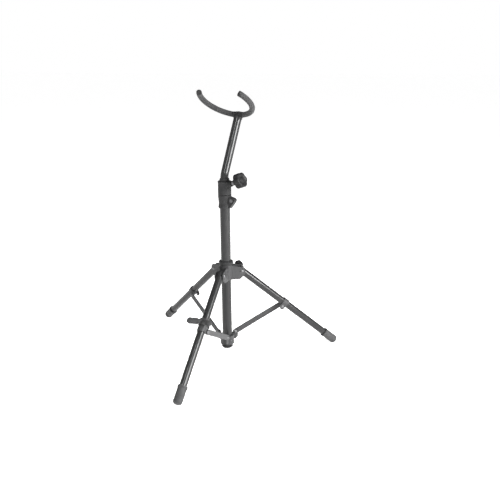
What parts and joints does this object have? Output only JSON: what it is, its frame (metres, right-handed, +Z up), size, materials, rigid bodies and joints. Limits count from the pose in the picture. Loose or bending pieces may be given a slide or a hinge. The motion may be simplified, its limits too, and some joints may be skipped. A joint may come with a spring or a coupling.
{
  "type": "saxophone stand",
  "caption": "Folding tripod stand for a large saxophone, with a sleeved yoke on a bent, sliding stem and a small sleeved fork on one leg.",
  "frame": {"origin": "point on the floor on the axis of the column", "axes": "+Z up along the column; leg A and its rest point along -Y; +X to the right of leg A"},
  "size_m": [0.625, 0.5448, 0.8041],
  "materials": {
    "black_paint": "gloss black powder coat",
    "casting_paint": "satin black paint",
    "brace_paint": "satin black paint",
    "rod_paint": "black paint",
    "housing_plastic": "moulded black plastic",
    "knob_plastic": "moulded black plastic with a fine grain",
    "plug_plastic": "black plastic",
    "sleeve_foam": "soft black foam rubber",
    "foot_rubber": "black rubber",
    "screw_steel": "blackened steel",
    "rivet_steel": "dull steel"
  },
  "bodies": {
    "column": {"column_tube": "black_paint", "column_end_cap": "plug_plastic", "lower_ring": "casting_paint", "ring_screw": "screw_steel", "ring_rivets": "rivet_steel", "clamp_housing": "housing_plastic", "pinch_screw": "screw_steel", "stem_bush": "housing_plastic"},
    "hub": {"leg_hub": "casting_paint", "hub_liner": "housing_plastic", "hub_rivets": "rivet_steel"},
    "hub_lock": {"hub_screw": "screw_steel", "hub_knob": "knob_plastic"},
    "height_lock": {"clamp_screw": "screw_steel", "clamp_knob": "knob_plastic"},
    "stem_slide": {"stem_plug": "plug_plastic"},
    "stem": {"stem_tube": "black_paint", "yoke_rod": "rod_paint", "yoke_saddle": "housing_plastic", "yoke_sleeve_right": "sleeve_foam", "yoke_sleeve_left": "sleeve_foam", "yoke_tip_caps": "plug_plastic"},
    "brace_a": {"brace_a": "brace_paint"},
    "leg_a": {"leg_tube_a": "black_paint", "leg_plug_a": "plug_plastic", "leg_pin_a": "screw_steel", "foot_a": "foot_rubber", "leg_collar_a": "casting_paint", "collar_rivet_a": "rivet_steel"},
    "brace_b": {"brace_b": "brace_paint"},
    "leg_b": {"leg_tube_b": "black_paint", "leg_plug_b": "plug_plastic", "leg_pin_b": "screw_steel", "foot_b": "foot_rubber", "leg_collar_b": "casting_paint", "collar_rivet_b": "rivet_steel"},
    "brace_c": {"brace_c": "brace_paint"},
    "leg_c": {"leg_tube_c": "black_paint", "leg_plug_c": "plug_plastic", "leg_pin_c": "screw_steel", "foot_c": "foot_rubber", "leg_collar_c": "casting_paint", "collar_rivet_c": "rivet_steel"},
    "rest": {"rest_clamp": "casting_paint", "rest_prongs": "rod_paint", "rest_sleeve_left": "sleeve_foam", "rest_sleeve_right": "sleeve_foam"},
    "rest_lock": {"rest_screw": "screw_steel", "rest_knob": "knob_plastic"}
  },
  "joints": [
    {"name": "fold", "type": "hinge", "parent": "column", "child": "brace_a", "pos_m": [0, -0.027, 0.0575], "axis": [-1, 0, 0], "range_deg": [0, 56.29]},
    {"name": "leg_a_fold", "type": "hinge", "parent": "brace_a", "child": "leg_a", "pos_m": [0, -0.17373, 0.14068], "axis": [-1, 0, 0], "range_deg": [-103.8, 0]},
    {"name": "brace_b_fold", "type": "hinge", "parent": "column", "child": "brace_b", "pos_m": [0.02338, 0.0135, 0.0575], "axis": [0.5, -0.866, 0], "range_deg": [0, 56.29]},
    {"name": "leg_b_fold", "type": "hinge", "parent": "brace_b", "child": "leg_b", "pos_m": [0.15046, 0.08687, 0.14068], "axis": [0.5, -0.866, 0], "range_deg": [-103.8, 0]},
    {"name": "brace_c_fold", "type": "hinge", "parent": "column", "child": "brace_c", "pos_m": [-0.02338, 0.0135, 0.0575], "axis": [0.5, 0.866, 0], "range_deg": [0, 56.29]},
    {"name": "leg_c_fold", "type": "hinge", "parent": "brace_c", "child": "leg_c", "pos_m": [-0.15046, 0.08687, 0.14068], "axis": [0.5, 0.866, 0], "range_deg": [-103.8, 0]},
    {"name": "hub_slide", "type": "slide", "parent": "column", "child": "hub", "axis": [0, 0, 1], "range_m": [0, 0.1375]},
    {"name": "hub_knob_turn", "type": "hinge", "parent": "hub", "child": "hub_lock", "pos_m": [0, 0, 0.27533], "axis": [0.4067, 0.9135, 0], "range_deg": [-720, 0]},
    {"name": "height_knob_turn", "type": "hinge", "parent": "column", "child": "height_lock", "pos_m": [0, 0, 0.53], "axis": [0.8956, -0.24, 0.3746], "range_deg": [-1080, 0]},
    {"name": "height_slide", "type": "slide", "parent": "column", "child": "stem_slide", "axis": [0, 0, 1], "range_m": [0, 0.15]},
    {"name": "stem_swivel", "type": "hinge", "parent": "stem_slide", "child": "stem", "pos_m": [0, 0, 0.5], "axis": [0, 0, 1], "continuous": true},
    {"name": "rest_slide", "type": "slide", "parent": "leg_a", "child": "rest", "axis": [0, 0.7604, 0.6494], "range_m": [0, 0.1]},
    {"name": "rest_knob_turn", "type": "hinge", "parent": "rest", "child": "rest_lock", "pos_m": [0, -0.16838, 0.16366], "axis": [0, 0.6494, -0.7604], "range_deg": [-720, 0]}
  ],
  "couplings": [
    {"joint": "leg_a_fold", "follows": "fold", "ratio": -1.8438},
    {"joint": "brace_b_fold", "follows": "fold", "ratio": 1},
    {"joint": "leg_b_fold", "follows": "fold", "ratio": -1.8438},
    {"joint": "brace_c_fold", "follows": "fold", "ratio": 1},
    {"joint": "leg_c_fold", "follows": "fold", "ratio": -1.8438},
    {"joint": "hub_slide", "follows": "fold", "m_per_rad": 0.13985}
  ]
}
